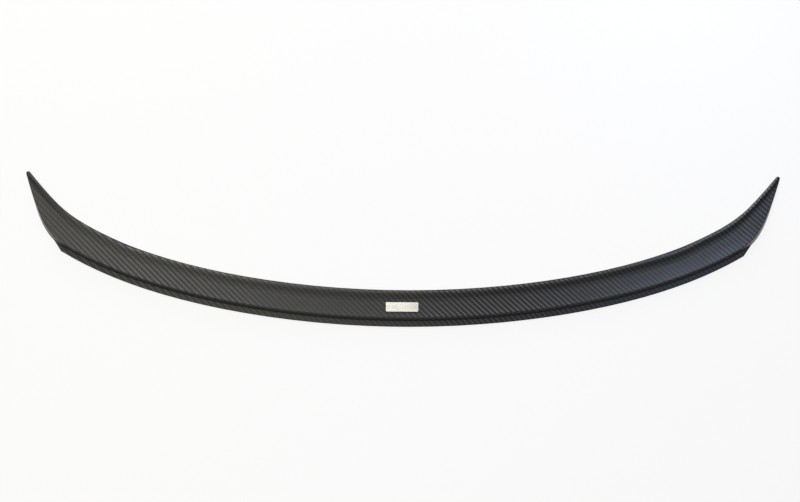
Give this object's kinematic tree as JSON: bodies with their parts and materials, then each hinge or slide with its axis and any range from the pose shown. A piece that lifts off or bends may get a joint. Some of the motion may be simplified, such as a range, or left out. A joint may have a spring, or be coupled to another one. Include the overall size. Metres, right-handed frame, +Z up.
{
  "type": "rear lip spoiler",
  "caption": "Crescent-shaped woven carbon-fibre lip spoiler with a rounded leading rim, a ramp up to a trailing crest, a stepped rear flange and a blank plate, stuck to a boot lid.",
  "frame": {"origin": "on the centre line, in the middle of the rear adhesive strip, on the plane that meets the boot lid", "axes": "+X across the car along the span, +Y towards the car's front, +Z up from the boot lid"},
  "size_m": [1.057, 0.216, 0.0127],
  "materials": {
    "carbon_fibre": "satin clear coat over twill carbon fibre",
    "bright_plate": "brushed",
    "adhesive_pad": "matt",
    "foam_tape": "matt foam"
  },
  "bodies": {
    "root": {"spoiler_shell": "carbon_fibre", "badge_plate": "bright_plate", "badge_pad": "adhesive_pad", "front_tape": "foam_tape", "rear_tape": "foam_tape"}
  },
  "joints": []
}
